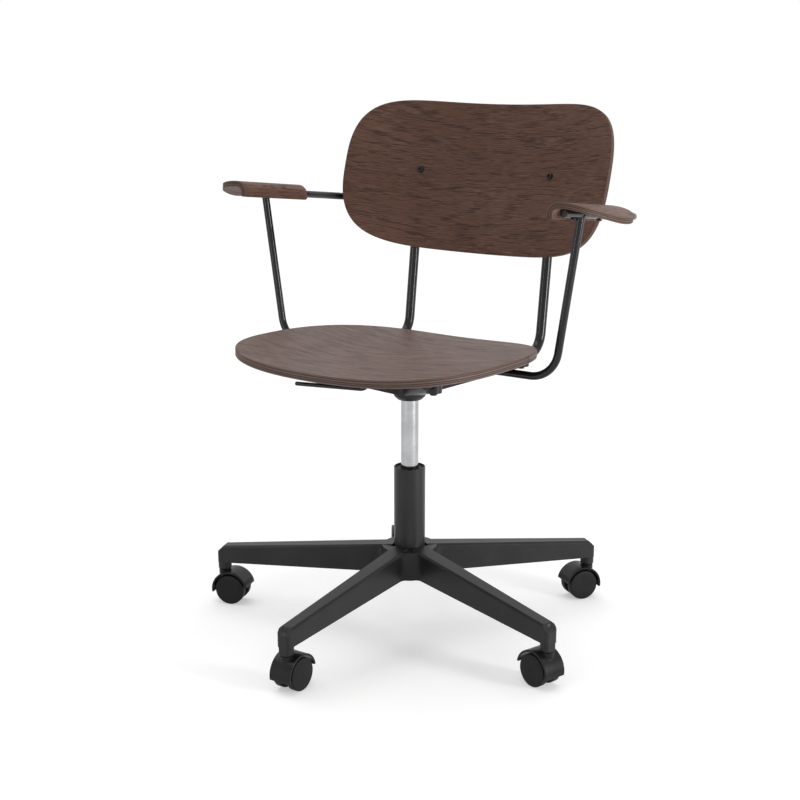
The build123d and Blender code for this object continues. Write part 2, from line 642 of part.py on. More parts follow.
upright_tube = swept_tube([run_front, run_corner, kink, upright_top], [UPRIGHT_BEND, UPRIGHT_KINK],
                          UPRIGHT_D, UPRIGHT_WALL)
with BuildPart() as back_upright_left:
    add(upright_tube.part)
    add(rod(back_screw_plane, -BACK_T - upright_r, 0, BACK_SCREW_D / 2 + SEAT_CLEAR), mode=Mode.SUBTRACT)
    for plane in seat_screw_planes:
        add(rod(plane, -UPRIGHT_D, UPRIGHT_D, SEAT_SCREW_D / 2 + BOLT_CLEAR), mode=Mode.SUBTRACT)
save(back_upright_left, "back_upright_left")
save(mirrored(back_upright_left), "back_upright_right")

run_plane = Plane(origin=run_at_arm, x_dir=(1, 0, 0), z_dir=run_dir)
leg_plane = Plane(origin=arm_top, x_dir=(1, 0, 0), z_dir=hoop_plane.y_dir)
arm_tube = swept_tube([run_at_arm, arm_corner, arm_top], [ARM_TUBE_BEND], ARM_TUBE_D, ARM_TUBE_WALL)
with BuildPart() as arm_tube_left:
    add(arm_tube.part)
    add(rod(run_plane, -UPRIGHT_D, UPRIGHT_D, upright_r + WELD_GAP), mode=Mode.SUBTRACT)
    add(rod(leg_plane, -UPRIGHT_D, UPRIGHT_D, arm_tube_r + WELD_GAP), mode=Mode.SUBTRACT)
save(arm_tube_left, "arm_tube_left")
save(mirrored(arm_tube_left), "arm_tube_right")

hoop_points = [hoop_plane.from_local_coords(point) for point in
               ((-ARM_TUBE_X, -HOOP_LEG, 0), (-ARM_TUBE_X, 0, 0),
                (ARM_TUBE_X, 0, 0), (ARM_TUBE_X, -HOOP_LEG, 0))]
hoop_tube = swept_tube(hoop_points, [HOOP_BEND, HOOP_BEND], ARM_TUBE_D, ARM_TUBE_WALL)
with BuildPart() as hoop_holes:
    for plane in pad_screw_planes:
        add(rod(plane, -ARM_TUBE_D, ARM_TUBE_D, PAD_SCREW_D / 2 + BOLT_CLEAR))
    mirror(about=Plane.YZ)
with BuildPart() as arm_hoop:
    add(hoop_tube.part)
    add(hoop_holes.part, mode=Mode.SUBTRACT)
save(arm_hoop, "arm_hoop")


def end_plug(plane, diameter, wall):
    """Plug that closes a tube's end, its cap outward along the plane's normal."""
    with BuildPart() as plug:
        with BuildSketch(plane.offset(WELD_GAP)):
            Circle(diameter / 2)
        extrude(amount=PLUG_T)
        rims = plug.edges().filter_by(GeomType.CIRCLE)
        fillet(rims.sort_by_distance(plane.offset(2 * PLUG_T).origin)[0], radius=PLUG_T * 0.7)
        with BuildSketch(plane.offset(WELD_GAP)):
            Circle(diameter / 2 - wall - SEAT_CLEAR)
        extrude(amount=-PLUG_IN)
    return plug.part


hoop_end = Plane(origin=hoop_points[-1], x_dir=(1, 0, 0), z_dir=-hoop_plane.y_dir)
with BuildPart() as hoop_plugs:
    add(end_plug(hoop_end, ARM_TUBE_D, ARM_TUBE_WALL))
    mirror(about=Plane.YZ)
save(hoop_plugs, "hoop_plugs")

with BuildPart() as upright_plugs:
    add(end_plug(Plane(origin=upright_top, x_dir=(1, 0, 0), z_dir=back_up), UPRIGHT_D, UPRIGHT_WALL))
    add(end_plug(Plane(origin=run_front, x_dir=(1, 0, 0), z_dir=-run_dir), UPRIGHT_D, UPRIGHT_WALL))
    mirror(about=Plane.YZ)
save(upright_plugs, "upright_plugs")

# Seat: a curved band of plywood trimmed to its outline
seat_rise = SEAT_R - sqrt(SEAT_R ** 2 - SEAT_HALF_W ** 2)
with BuildPart() as seat_shell:
    with BuildSketch(seat_section):
        with Locations((0, SEAT_R)):
            Circle(SEAT_R + SEAT_T)
            Circle(SEAT_R, mode=Mode.SUBTRACT)
    extrude(amount=SEAT_FRONT + SEAT_BACK, both=True)
    with BuildSketch(Plane(origin=seat_plane.from_local_coords((0, -SEAT_MID, -2 * SEAT_T)),
                           x_dir=seat_plane.x_dir, z_dir=seat_plane.z_dir)):
        with BuildLine():
            Spline(*superellipse(SEAT_HALF_W, SEAT_BACK, SEAT_FRONT, SEAT_BACK_POW, SEAT_FRONT_POW),
                   periodic=True)
        make_face()
    extrude(amount=3 * SEAT_T + seat_rise, mode=Mode.INTERSECT)
    fillet(seat_shell.edges().filter_by(lambda e: e.length > SEAT_HALF_W), radius=SEAT_EDGE)
    for plane in seat_screw_planes:
        for x in (0, -2 * UPRIGHT_X):
            add(rod(Plane(origin=plane.origin + Vector(x, 0, 0), x_dir=(1, 0, 0), z_dir=plane.z_dir),
                    0, seat_screw_end + SIDE_CLEAR, SEAT_SCREW_D / 2 + SEAT_CLEAR), mode=Mode.SUBTRACT)
save(seat_shell, "seat_shell")

# Backrest: a tighter curved band, screwed to the uprights from the front
back_rise = BACK_R - sqrt(BACK_R ** 2 - BACK_HALF_W ** 2)
with BuildPart() as backrest_shell:
    with BuildSketch(back_section):
        with Locations((0, -BACK_R)):
            Circle(BACK_R + BACK_T)
            Circle(BACK_R, mode=Mode.SUBTRACT)
    extrude(amount=2 * BACK_HALF_H, both=True)
    with BuildSketch(back_plane.offset(-2 * BACK_T)):
        with BuildLine():
            Spline(*superellipse(BACK_HALF_W, BACK_HALF_H, BACK_HALF_H, BACK_POW, BACK_POW), periodic=True)
        make_face()
    extrude(amount=3 * BACK_T + back_rise, mode=Mode.INTERSECT)
    fillet(backrest_shell.edges().filter_by(lambda e: e.length > BACK_HALF_W), radius=BACK_EDGE)
    back_hole = rod(back_screw_plane, -2 * BACK_T, BACK_T, BACK_SCREW_D / 2 + BOLT_CLEAR)
    add(back_hole, mode=Mode.SUBTRACT)
    mirror(back_hole, about=Plane.YZ, mode=Mode.SUBTRACT)
save(backrest_shell, "backrest_shell")

# Armrests: plywood folded over the hoop's legs, the leaf curving down outward from the crest
pad_front = hoop_plane.from_local_coords((ARM_TUBE_X, -HOOP_LEG - PAD_FRONT, 0))
pad_section = Plane(origin=pad_front, x_dir=(1, 0, 0), z_dir=-hoop_plane.y_dir)
pad_plan = Plane(origin=pad_front, x_dir=(1, 0, 0), z_dir=hoop_plane.z_dir)
pad_length = PAD_EDGE[-1][1]
crest = arm_tube_r + WELD_GAP
fold_centre = (0, crest - PAD_FOLD_R)
leaf_centre = (0, crest - PAD_LEAF_R)
leaf_turn = degrees(asin(PAD_LEAF_W / PAD_LEAF_R))
lip_low = crest - PAD_FOLD_R - PAD_LIP
with BuildPart() as armrest_left:
    with BuildSketch(pad_section):
        with BuildLine():
            fold_in = CenterArc(fold_centre, PAD_FOLD_R, 90, 90)
            fold_out = CenterArc(fold_centre, PAD_FOLD_R + PAD_T, 90, 90)
            leaf_low = CenterArc(leaf_centre, PAD_LEAF_R, 90, -leaf_turn)
            leaf_high = CenterArc(leaf_centre, PAD_LEAF_R + PAD_T, 90, -leaf_turn)
            Line(leaf_low @ 1, leaf_high @ 1)
            Polyline(fold_in @ 1, (-PAD_FOLD_R, lip_low), (-PAD_FOLD_R - PAD_T, lip_low), fold_out @ 1)
        make_face()
    extrude(amount=-pad_length)
    with BuildSketch(pad_plan.offset(-PAD_LEAF_W)):
        with BuildLine():
            rim = Spline(*PAD_EDGE)
            Polyline(rim @ 1, (-PAD_LEAF_W, pad_length), (-PAD_LEAF_W, 0), rim @ 0)
        make_face()
    extrude(amount=2 * PAD_LEAF_W, mode=Mode.INTERSECT)
    lip_corners = armrest_left.edges().filter_by(Axis.X).filter_by(lambda e: abs(e.length - PAD_T) < WELD_GAP)
    fillet(lip_corners, radius=PAD_LIP_ROUND)
    for plane in pad_screw_planes:
        add(rod(plane, 0, pad_screw_end + SIDE_CLEAR, PAD_SCREW_D / 2 + SEAT_CLEAR), mode=Mode.SUBTRACT)
save(armrest_left, "armrest_left")
save(mirrored(armrest_left), "armrest_right")

# Seat hub: a turned socket with four arms that carry the tubes
spider_angle = degrees(atan2(SPIDER_PAD_Y, UPRIGHT_X))
spider_reach = sqrt(SPIDER_PAD_Y ** 2 + UPRIGHT_X ** 2)
lever_angle = 180 + LEVER_TURN
lever_axis = Vector(cos(radians(lever_angle)), sin(radians(lever_angle)), 0)
lever_plane = Plane(origin=(0, 0, 0), x_dir=lever_axis, z_dir=lever_axis.cross(Vector(0, 0, 1)))
pivot_z = valve_top + LEVER_GAP + LEVER_FINGER_T - LEVER_D / 2
pivot_plane = Plane(origin=lever_axis * LEVER_PIVOT + Vector(0, 0, pivot_z), x_dir=lever_axis,
                    z_dir=lever_plane.z_dir)

pad_low = -upright_r - WELD_GAP - SPIDER_FLOOR
pad_high = SPIDER_LIFT - upright_r


def spider_arm(y):
    """One arm of the hub along +X with its pad, its end at the height of the tube it carries."""
    level = seat_plane.from_local_coords((UPRIGHT_X, y, run_level)).Z
    with BuildPart() as arm:
        for reach, width, low, high in ((HUB_BOTTOM_D / 4, SPIDER_ROOT_W, SPIDER_LOW_ROOT, HUB_TOP),
                                        (spider_reach, SPIDER_TIP_W, level + pad_low, level + pad_high)):
            with BuildSketch(Plane(origin=(reach, 0, 0), x_dir=(0, 1, 0), z_dir=(1, 0, 0))):
                with Locations((0, (high + low) / 2)):
                    Rectangle(width, high - low)
        loft(ruled=True)
        with BuildSketch(Plane.XY.offset(level + pad_low)):
            with Locations((spider_reach, 0)):
                Circle(SPIDER_PAD_D / 2)
        extrude(amount=pad_high - pad_low)
    return arm.part


with BuildPart() as seat_hub:
    with BuildSketch(Plane.XZ):
        with BuildLine():
            Polyline((0, HUB_BOTTOM), (HUB_BOTTOM_D / 2 - HUB_BEVEL, HUB_BOTTOM),
                     (HUB_BOTTOM_D / 2, HUB_BOTTOM + HUB_BEVEL), (HUB_TOP_D / 2, HUB_TOP), (0, HUB_TOP),
                     close=True)
        make_face()
    revolve(axis=Axis.Z)
    rear_arm = spider_arm(SPIDER_PAD_Y)
    front_arm = spider_arm(-SPIDER_PAD_Y)
    with Locations(Location((0, 0, 0), (0, 0, spider_angle)),
                   Location((0, 0, 0), (0, 0, 180 - spider_angle))):
        add(rear_arm)
    with Locations(Location((0, 0, 0), (0, 0, -spider_angle)),
                   Location((0, 0, 0), (0, 0, 180 + spider_angle))):
        add(front_arm)
    with BuildSketch(Plane.XZ):
        with BuildLine():
            Polyline((0, HUB_BOTTOM), (CYLINDER_D / 2 + SEAT_CLEAR, HUB_BOTTOM),
                     (CYLINDER_TAPER_D / 2 + SEAT_CLEAR, cylinder_top), (VALVE_ROOM_D / 2, cylinder_top),
                     (VALVE_ROOM_D / 2, HUB_TOP), (0, HUB_TOP), close=True)
        make_face()
    revolve(axis=Axis.Z, mode=Mode.SUBTRACT)
    with BuildSketch(Plane(origin=(0, 0, cylinder_top), x_dir=lever_axis, z_dir=(0, 0, 1))):
        with Locations((HUB_TOP_D / 2, 0)):
            Rectangle(HUB_TOP_D, LEVER_SLOT)
    extrude(amount=HUB_TOP - cylinder_top, mode=Mode.SUBTRACT)
    add(rod(pivot_plane, -LEVER_PIN_L / 2, LEVER_PIN_L / 2, LEVER_PIN_D / 2 + SEAT_CLEAR), mode=Mode.SUBTRACT)
    for side in (1, -1):
        along = Plane(origin=(side * UPRIGHT_X, run_at_arm.Y, run_at_arm.Z), x_dir=(1, 0, 0), z_dir=run_dir)
        add(rod(along, -2 * SPIDER_PAD_Y, 2 * SPIDER_PAD_Y, upright_r + WELD_GAP), mode=Mode.SUBTRACT)
        for plane in seat_screw_planes:
            spot = Plane(origin=(side * plane.origin.X, plane.origin.Y, plane.origin.Z),
                         x_dir=(1, 0, 0), z_dir=plane.z_dir)
            add(rod(spot, 2 * seat_screw_head, 0, SEAT_SCREW_D / 2 + BOLT_CLEAR), mode=Mode.SUBTRACT)
            add(rod(spot, 3 * seat_screw_head, seat_screw_head, SEAT_SCREW_HEAD_D / 2 + BOLT_CLEAR),
                mode=Mode.SUBTRACT)
save(seat_hub, "seat_hub")

with BuildPart() as lever_pin:
    add(rod(pivot_plane, -LEVER_PIN_L / 2, LEVER_PIN_L / 2, LEVER_PIN_D / 2))
save(lever_pin, "lever_pin")

with BuildPart() as valve_button:
    add(rod(Plane.XY, valve_top - VALVE_L, valve_top, VALVE_D / 2))
save(valve_button, "valve_button")

# Height lever: a bent round bar with a boss on the pin and a finger over the valve button
with BuildPart() as height_lever:
    with BuildLine(lever_plane) as lever_route:
        FilletPolyline((LEVER_PIVOT, pivot_z), (LEVER_DROP_IN, pivot_z), (LEVER_DROP_OUT, LEVER_Z),
                       (LEVER_REACH, LEVER_Z), radius=LEVER_BEND)
    with BuildSketch(Plane(origin=lever_route.line @ 0, z_dir=lever_route.line % 0)):
        Circle(LEVER_D / 2)
    sweep(path=lever_route.line)
    rims = height_lever.edges().filter_by(GeomType.CIRCLE)
    fillet(rims.sort_by(Axis(origin=(0, 0, 0), direction=lever_axis))[-1], radius=LEVER_D / 2 - 0.6)
    with BuildSketch(pivot_plane):
        Circle(LEVER_BOSS_D / 2)
    extrude(amount=LEVER_D / 2, both=True)
    with BuildSketch(Plane(origin=(0, 0, valve_top + LEVER_GAP), x_dir=lever_axis, z_dir=(0, 0, 1))):
        with Locations(((LEVER_PIVOT - LEVER_FINGER_END) / 2, 0)):
            Rectangle(LEVER_PIVOT + LEVER_FINGER_END, LEVER_FINGER_W)
    extrude(amount=LEVER_FINGER_T)
    with BuildSketch(pivot_plane):
        Circle(LEVER_PIN_D / 2 + RUN_CLEAR)
    extrude(amount=LEVER_D, both=True, mode=Mode.SUBTRACT)
save(height_lever, "height_lever")

# Screws: from below into the seat and the armrests, from the front through the backrest
with BuildPart() as seat_screws:
    for plane in seat_screw_planes:
        add(rod(plane, seat_screw_head - WELD_GAP - SEAT_SCREW_HEAD_H, seat_screw_head - WELD_GAP,
                SEAT_SCREW_HEAD_D / 2))
        add(rod(plane, seat_screw_head - SEAT_SCREW_HEAD_H / 2, seat_screw_end, SEAT_SCREW_D / 2))
    mirror(about=Plane.YZ)
save(seat_screws, "seat_screws")

with BuildPart() as armrest_screws:
    head_top = -arm_tube_r - WELD_GAP
    for plane in pad_screw_planes:
        add(rod(plane, head_top - PAD_SCREW_HEAD_H, head_top, PAD_SCREW_HEAD_D / 2))
        add(rod(plane, head_top - PAD_SCREW_HEAD_H / 2, pad_screw_end, PAD_SCREW_D / 2))
    mirror(about=Plane.YZ)
save(armrest_screws, "armrest_screws")

with BuildPart() as backrest_screws:
    add(rod(back_screw_plane, 0, BACK_SCREW_HEAD_H, BACK_SCREW_HEAD_D / 2))
    rims = backrest_screws.edges().filter_by(GeomType.CIRCLE)
    crown = rims.sort_by_distance(back_screw_plane.offset(2 * BACK_SCREW_HEAD_H).origin)[0]
    fillet(crown, radius=BACK_SCREW_HEAD_H / 2)
    add(rod(back_screw_plane, -BACK_T - upright_r, BACK_SCREW_HEAD_H / 2, BACK_SCREW_D / 2))
    with BuildSketch(back_screw_plane.offset(BACK_SCREW_HEAD_H)):
        RegularPolygon(BACK_SCREW_HEX / 2, 6, major_radius=False)
    extrude(amount=-BACK_SCREW_HEX / 2, mode=Mode.SUBTRACT)
    mirror(about=Plane.YZ)
save(backrest_screws, "backrest_screws")
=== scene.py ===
"""Task chair: finishes, screws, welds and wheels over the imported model, with a plain studio."""

from math import cos, pi, radians, sin, sqrt

import bmesh
import bpy
from bpy.props import FloatProperty, FloatVectorProperty, IntProperty, PointerProperty
from mathutils import Matrix, Vector


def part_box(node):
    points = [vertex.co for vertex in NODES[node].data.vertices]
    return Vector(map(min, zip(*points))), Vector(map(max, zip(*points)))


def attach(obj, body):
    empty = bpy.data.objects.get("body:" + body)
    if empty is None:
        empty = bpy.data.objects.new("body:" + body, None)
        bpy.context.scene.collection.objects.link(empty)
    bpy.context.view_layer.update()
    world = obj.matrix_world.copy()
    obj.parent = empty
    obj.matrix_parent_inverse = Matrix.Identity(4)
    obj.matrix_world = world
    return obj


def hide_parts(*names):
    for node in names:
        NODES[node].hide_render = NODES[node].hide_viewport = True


bl_info = {
    "name": "Task chair",
    "version": (1, 0, 0),
    "blender": (4, 5, 0),
    "location": "View3D > Sidebar > Task chair",
    "description": "Dresses the task chair's solids with plywood, coated steel and nylon finishes",
    "category": "Object",
}

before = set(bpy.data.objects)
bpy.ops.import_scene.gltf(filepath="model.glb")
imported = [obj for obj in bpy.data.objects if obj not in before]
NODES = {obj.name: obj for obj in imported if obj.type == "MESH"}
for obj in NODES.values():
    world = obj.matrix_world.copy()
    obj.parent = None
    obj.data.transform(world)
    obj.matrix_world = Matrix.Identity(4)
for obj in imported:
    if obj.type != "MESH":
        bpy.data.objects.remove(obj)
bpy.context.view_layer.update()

# Places of the chair's own pieces, in metres
SEAT_ORIGIN, SEAT_TILT, SEAT_R, SEAT_T = Vector((0, 0, 0.4505)), 1.82, 1.406, 0.012
BACK_ORIGIN, BACK_LEAN, BACK_R, BACK_T = Vector((0, 0.2315, 0.7007)), 17.26, 0.5168, 0.010
PAD_ORIGIN, HOOP_TILT, PAD_T = Vector((0, -0.0662974, 0.6895057)), 6.6, 0.009
ARM_X, TUBE_R, FOLD_R, LEAF_R = 0.288, 0.00605, 0.0095, 0.140
UPRIGHT_R = 0.00805
ARM_TOP, ARM_CORNER = Vector((0.288, 0.005, 0.6812563)), Vector((0.2513441, 0.005, 0.4359861))
RUN_AT_ARM = Vector((0.1274, 0.005, 0.4359861))
CROSSING_WELD = (0.0044, 0.0034)
HOOP_CROSSING = Vector((0.1274, 0.2289405, 0.6564676))
SEAT_SCREWS = ((0.1274, -0.130390, 0.440288), (0.1274, 0.129479, 0.432031))
SEAT_HEAD, PAD_HEAD = (0.0161, 0.0055, 0.004), (0.0073, 0.00375, 0.0025)  # drop, radius and height
SOCKET_CORNER = 1.15  # hexagon's corners beyond its flats
PAD_SCREWS = ((0.288, -0.018841, 0.684015), (0.288, 0.062616, 0.67459))
FLOOR_HALF, FLOOR_DROP = 9, 0.0004
CASTER_R, CASTER_TRAIL, WHEEL_R, WHEEL_INNER = 0.323, 0.014, 0.025, 0.0065


def tilted(degrees):
    """Turn of a plane that leans back about the chair's left-right axis."""
    return Matrix.Rotation(radians(-degrees), 3, "X")


class Sock:
    """A value in a material's tree: Python's operators on it add Math nodes."""

    def __init__(self, finish, out):
        self.finish, self.out = finish, out

    def __add__(self, other):
        return self.finish.maths("ADD", self, other)

    def __sub__(self, other):
        return self.finish.maths("SUBTRACT", self, other)

    def __rsub__(self, other):
        return self.finish.maths("SUBTRACT", other, self)

    def __mul__(self, other):
        return self.finish.maths("MULTIPLY", self, other)

    def __lt__(self, other):
        return self.finish.maths("LESS_THAN", self, other)

    def __gt__(self, other):
        return self.finish.maths("GREATER_THAN", self, other)

    __radd__, __rmul__ = __add__, __mul__


class Finish:
    """A material's or a world's node tree under construction."""

    def __init__(self, owner):
        owner.use_nodes = True
        self.owner, self.tree = owner, owner.node_tree
        self.tree.nodes.clear()

    def node(self, kind, settings=None, inputs=None, out=0):
        """Add a node: its settings first, then the values or links of its sockets."""
        made = self.tree.nodes.new(kind)
        for key, value in (settings or {}).items():
            setattr(made, key, value)
        for key, value in (inputs or {}).items():
            if isinstance(value, Sock):
                self.tree.links.new(value.out, made.inputs[key])
            else:
                made.inputs[key].default_value = value
        return Sock(self, made.outputs[out])

    def maths(self, operation, *values):
        """A Math node on values or numbers."""
        return self.node("ShaderNodeMath", {"operation": operation}, dict(enumerate(values)))

    def blend(self, factor, first, second):
        """Colour between two colours."""
        return self.node("ShaderNodeMix", {"data_type": "RGBA"}, {0: factor, 6: first, 7: second}, out=2)

    def noise(self, vector, detail=2.0, rough=0.5, distortion=0.0, scale=1.0):
        return self.node("ShaderNodeTexNoise", None, {"Vector": vector, "Scale": scale, "Detail": detail,
                                                      "Roughness": rough, "Distortion": distortion})

    def split(self, vector):
        """The three parts of a vector."""
        made = self.node("ShaderNodeSeparateXYZ", None, {0: vector}).out.node
        return [Sock(self, out) for out in made.outputs]

    def join(self, x, y, z):
        return self.node("ShaderNodeCombineXYZ", None, {0: x, 1: y, 2: z})

    def step(self, value, low, high):
        """Smooth step of a value between two levels."""
        return self.node("ShaderNodeMapRange", {"interpolation_type": "SMOOTHSTEP"},
                         {"Value": value, "From Min": low, "From Max": high})

    def close(self, height, relief, strength, edge, **sockets):
        """Bump over rounded edges, then the shader and the output."""
        round_edge = self.node("ShaderNodeBevel", {"samples": 4}, {"Radius": edge})
        bump = self.node("ShaderNodeBump", None, {"Height": height, "Distance": relief, "Strength": strength,
                                                  "Normal": round_edge})
        values = {key.replace("_", " "): value for key, value in sockets.items()}
        shader = self.node("ShaderNodeBsdfPrincipled", None, {"Normal": bump, **values})
        return self.finish(shader)

    def finish(self, shader, output="ShaderNodeOutputMaterial"):
        self.tree.links.new(shader.out, self.tree.nodes.new(output).inputs["Surface"])
        return self.owner


def material(name):
    """New material, and the place on the piece that its patterns follow."""
    f = Finish(bpy.data.materials.new(name))
    return f, f.node("ShaderNodeTexCoord", out="Object")


def tint(name, description, *color):
    """Colour that a user may change."""
    return FloatVectorProperty(name=name, description=description, subtype="COLOR", size=4, default=(*color, 1))


class WoodProps(bpy.types.PropertyGroup):
    """Colours and scale of the stained oak plywood."""
    stain: tint("Stain", "Ground colour of the stained veneer", 0.096, 0.049, 0.034)
    pale: tint("Pale grain", "Colour of the pale bands", 0.152, 0.085, 0.064)
    pore: tint("Pores", "Colour in the open pores", 0.026, 0.012, 0.008)
    ply: tint("Cut ply", "Colour of the cut edge's pale plies", 0.150, 0.106, 0.086)
    glue: tint("Glue line", "Colour of the glue lines", 0.014, 0.008, 0.007)
    plies: IntProperty(name="Plies", description="Plies seen on a cut edge", default=4, min=2, max=12)
    lacquer: FloatProperty(name="Lacquer roughness", description="Roughness of the satin lacquer",
                           default=0.46)


class CoatProps(bpy.types.PropertyGroup):
    """Colours of the coated, bare and moulded pieces."""
    tube: tint("Tubes", "Coat of the bent tubes", 0.005, 0.005, 0.0053)
    cast: tint("Base", "Coat of the five-arm base and the hub", 0.014, 0.014, 0.0143)
    column: tint("Column", "Coat of the column tube", 0.0145, 0.0145, 0.0149)
    steel: tint("Steel", "Bright steel of the gas cylinder", 0.44, 0.45, 0.46)
    brass: tint("Brass", "Brass of the bearing's cage", 0.60, 0.44, 0.18)
    nylon: tint("Nylon", "Moulded nylon of the casters", 0.0075, 0.0075, 0.0075)
    oxide: tint("Screws", "Blackened steel of the screws", 0.008, 0.008, 0.0085)


class DetailProps(bpy.types.PropertyGroup):
    """Sizes of the small details."""
    weld_bead: FloatProperty(name="Weld bead", description="Radius of one weld ripple", default=0.0013,
                             unit="LENGTH")
    weld_pitch: FloatProperty(name="Weld pitch", description="Spacing of the ripples", default=0.0011,
                              unit="LENGTH")
    edge: FloatProperty(name="Edge", description="Rounding of the edges", default=0.0007, unit="LENGTH")
    socket: FloatProperty(name="Socket", description="Socket's width as a share of a head", default=0.44,
                          subtype="FACTOR")


class StageProps(bpy.types.PropertyGroup):
    """Camera and light."""
    lens: FloatProperty(name="Lens", description="Focal length in millimetres", default=64.44)
    sun: FloatProperty(name="Overhead", description="Strength of the wide overhead light", default=1.5)
    strip: FloatProperty(name="Strip", description="Power of the tall strip lamp", default=6.0, unit="POWER")
    fill: FloatProperty(name="Fill", description="Power of the fill strip", default=34.0, unit="POWER")
    air: FloatProperty(name="Air", description="Strength of the light from all round", default=0.42)


def props(context):
    """The user's values for the wood, the coats, the details and the stage."""
    scene = context.scene
    return scene.chair_wood, scene.chair_coat, scene.chair_detail, scene.chair_stage


def dress(finish, *names):
    """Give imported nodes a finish."""
    for name in names:
        obj = NODES[name]
        obj.data.materials.clear()
        obj.data.materials.append(finish)


def plywood(context, name, turn, origin, thick, depth_of, grain_along, sheen, painted_light_gain=1.0):
    """Stained oak veneer, its plies and glue lines showing wherever the wood is cut."""
    wood, _, detail, _ = props(context)
    # The last argument brightens this piece's stain, pale grain and pores by a factor of its own: painted
    # light, standing in for the light that this piece catches.
    stain, pale, pore = ([c * painted_light_gain for c in tint[:3]] + [1] for tint in (wood.stain, wood.pale, wood.pore))
    f, place = material(name)
    back = turn.transposed()
    local = f.node("ShaderNodeMapping", None, {"Vector": place, "Location": -(back @ origin),
                                               "Rotation": back.to_euler()})
    x, y, z = f.split(local)
    depth = depth_of(f, x, y, z)
    along, across = {"seat": (x, y), "back": (x, z), "arm": (y, f.maths("ABSOLUTE", x) - z)}[grain_along]
    # Growth rings, then open pores drawn out along the grain, then slow drift in the stain
    figure = f.noise(f.join(along * 1.6, across * 13.0, depth * 40.0), detail=1.5, distortion=0.45)
    rings = f.maths("SINE", figure * 90.0) * 0.5 + 0.5
    streak = f.noise(f.join(along * 22.0, across * 1000.0, depth * 300.0), detail=2.0, rough=0.55)
    fine = f.noise(f.join(along * 50.0, across * 2200.0, depth * 900.0), detail=1.0, rough=0.5)
    cloud = f.noise(f.join(along * 4.0, across * 9.0, depth * 9.0), detail=2.0)
    pores = f.step(streak * 0.58 + fine * 0.42 + rings * 0.09, 0.50, 0.62)
    tone = f.step(streak * 0.45 + cloud * 0.35 + rings * 0.20, 0.34, 0.68)
    face = f.blend(pores * 0.85, f.blend(tone, stain, pale), pore)
    # Plies and glue lines, which show only between the two faces
    layer = depth * (wood.plies / thick)
    beat = f.maths("PINGPONG", layer, 0.5)
    glue = 1.0 - f.step(beat, 0.17, 0.30)
    odd = f.maths("PINGPONG", f.maths("FLOOR", layer), 1.0)
    cut = f.blend(f.step(fine * 0.6 + odd * 0.4, 0.2, 0.75), stain, wood.ply)
    cut = f.blend(glue * 0.9, cut, wood.glue)
    inside = (depth > 0.0004) * (depth < thick - 0.0004)
    color = f.blend(inside, face, cut)
    rough = wood.lacquer + pores * 0.14 + (cloud - 0.5) * 0.08 + inside * 0.10
    height = (1.0 - pores) * 0.8 + streak * 0.2 - glue * inside * 0.6
    return f.close(height, 0.00025, 0.35, detail.edge, Base_Color=color, Roughness=rough,
                   Specular_IOR_Level=sheen)


def coat(context, name, color, rough, grain, relief, gloss=0.5, edge=1.0):
    """Coated or moulded surface: fine relief, drifting gloss and dust in the tone."""
    detail = props(context)[2]
    f, place = material(name)
    skin = f.noise(place, detail=3.0, rough=0.55, scale=grain)
    drift = f.noise(place, detail=2.0, scale=22.0)
    lighter = tuple(min(1.0, c * 1.22 + 0.002) for c in color[:3]) + (1.0,)
    darker = tuple(c * 0.88 for c in color[:3]) + (1.0,)
    tone = f.blend(f.step(drift * 0.6 + skin * 0.4, 0.35, 0.68), darker, lighter)
    gloss_map = rough + (drift - 0.5) * 0.10 + (skin - 0.5) * 0.10
    return f.close(skin, relief, 0.30, detail.edge * edge, Base_Color=tone, Roughness=gloss_map,
                   Specular_IOR_Level=gloss)


def brushed(context, name, color, rough):
    """Turned bright steel with fine rings round the upright axis."""
    detail = props(context)[2]
    f, place = material(name)
    x, y, z = f.split(place)
    lines = f.noise(f.join(x * 30.0, y * 30.0, z * 5200.0), detail=2.0)
    drift = f.noise(place, detail=2.0, scale=40.0)
    dim = tuple(c * 0.80 for c in color[:3]) + (1.0,)
    tone = f.blend(f.step(lines * 0.5 + drift * 0.5, 0.35, 0.65), dim, color)
    return f.close(lines, 0.00002, 0.20, detail.edge, Base_Color=tone,
                   Roughness=rough + (drift - 0.5) * 0.10 + (lines - 0.5) * 0.08, Metallic=1.0)


def seat_depth(f, x, y, z):
    """Depth below the seat's hollow top face."""
    rise = z - SEAT_R
    return f.maths("SQRT", x * x + rise * rise) - SEAT_R


def back_depth(f, x, y, z):
    """Depth behind the backrest's hollow front face."""
    rise = y + BACK_R
    return f.maths("SQRT", x * x + rise * rise) - BACK_R


def pad_depth(f, x, y, z):
    """Distance from the armrest's inner face, along the lip, round the fold and over the leaf."""
    out = f.maths("ABSOLUTE", x) - ARM_X
    rise = f.maths("MAXIMUM", z - (TUBE_R - FOLD_R), 0.0)
    fold = f.maths("SQRT", out * out + rise * rise) - FOLD_R
    height = z - (TUBE_R - LEAF_R)
    leaf = f.maths("SQRT", out * out + height * height) - LEAF_R
    return fold + (leaf - fold) * (out > 0.0)


class CHAIR_OT_plywood(bpy.types.Operator):
    """Finish the seat, the backrest and the armrests in dark stained oak plywood"""
    bl_idname = "chair.plywood"
    bl_label = "Plywood"

    def execute(self, context):
        # The last number in each call brightens that piece's wood: painted light, most on the armrests and the
        # backrest, least on the seat.
        dress(plywood(context, "seat_oak", tilted(SEAT_TILT), SEAT_ORIGIN, SEAT_T, seat_depth,
                      "seat", 0.36, 1.15),
              "seat_shell")
        dress(plywood(context, "back_oak", tilted(BACK_LEAN), BACK_ORIGIN, BACK_T, back_depth,
                      "back", 0.14, 1.32),
              "backrest_shell")
        dress(plywood(context, "armrest_oak", tilted(HOOP_TILT), PAD_ORIGIN, PAD_T, pad_depth,
                      "arm", 0.20, 1.4),
              "armrest_left", "armrest_right")
        return {"FINISHED"}


